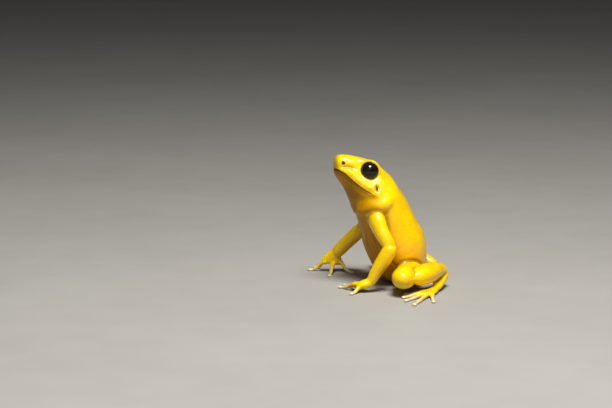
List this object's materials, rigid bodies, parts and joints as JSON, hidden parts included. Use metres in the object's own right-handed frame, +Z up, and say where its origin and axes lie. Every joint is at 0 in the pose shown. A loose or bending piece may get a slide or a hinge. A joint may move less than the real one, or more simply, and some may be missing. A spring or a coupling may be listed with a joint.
{
  "type": "golden poison frog model",
  "caption": "Life-size still model of a golden poison frog sitting upright, head raised, arms propped in front and hind legs folded beside the rump.",
  "frame": {"origin": "middle of the small flat under the rump that the frog sits on, on the floor", "axes": "+X the way the frog faces, +Y its left side, +Z up"},
  "size_m": [0.037, 0.0652, 0.0384],
  "materials": {
    "skin": "moist, satin to glossy yellow skin",
    "digit_skin": "moist pale yellow skin, greyish at the tips",
    "eye": "wet, glossy, near black",
    "eardrum": "moist, thin, brownish yellow skin"
  },
  "bodies": {
    "root": {"head": "skin", "torso": "skin", "left_eye": "eye", "right_eye": "eye", "left_eardrum": "eardrum", "right_eardrum": "eardrum", "left_upper_arm": "skin", "left_forearm": "skin", "left_hand": "skin", "right_upper_arm": "skin", "right_forearm": "skin", "right_hand": "skin", "left_thigh": "skin", "left_shank": "skin", "left_tarsus": "skin", "left_foot": "skin", "right_thigh": "skin", "right_shank": "skin", "right_tarsus": "skin", "right_foot": "skin", "left_finger_1": "digit_skin", "left_finger_2": "digit_skin", "left_finger_3": "digit_skin", "left_finger_4": "digit_skin", "right_finger_1": "digit_skin", "right_finger_2": "digit_skin", "right_finger_3": "digit_skin", "right_finger_4": "digit_skin", "left_toe_1": "digit_skin", "left_toe_2": "digit_skin", "left_toe_3": "digit_skin", "left_toe_4": "digit_skin", "left_toe_5": "digit_skin", "right_toe_1": "digit_skin", "right_toe_2": "digit_skin", "right_toe_3": "digit_skin", "right_toe_4": "digit_skin", "right_toe_5": "digit_skin"}
  },
  "joints": []
}
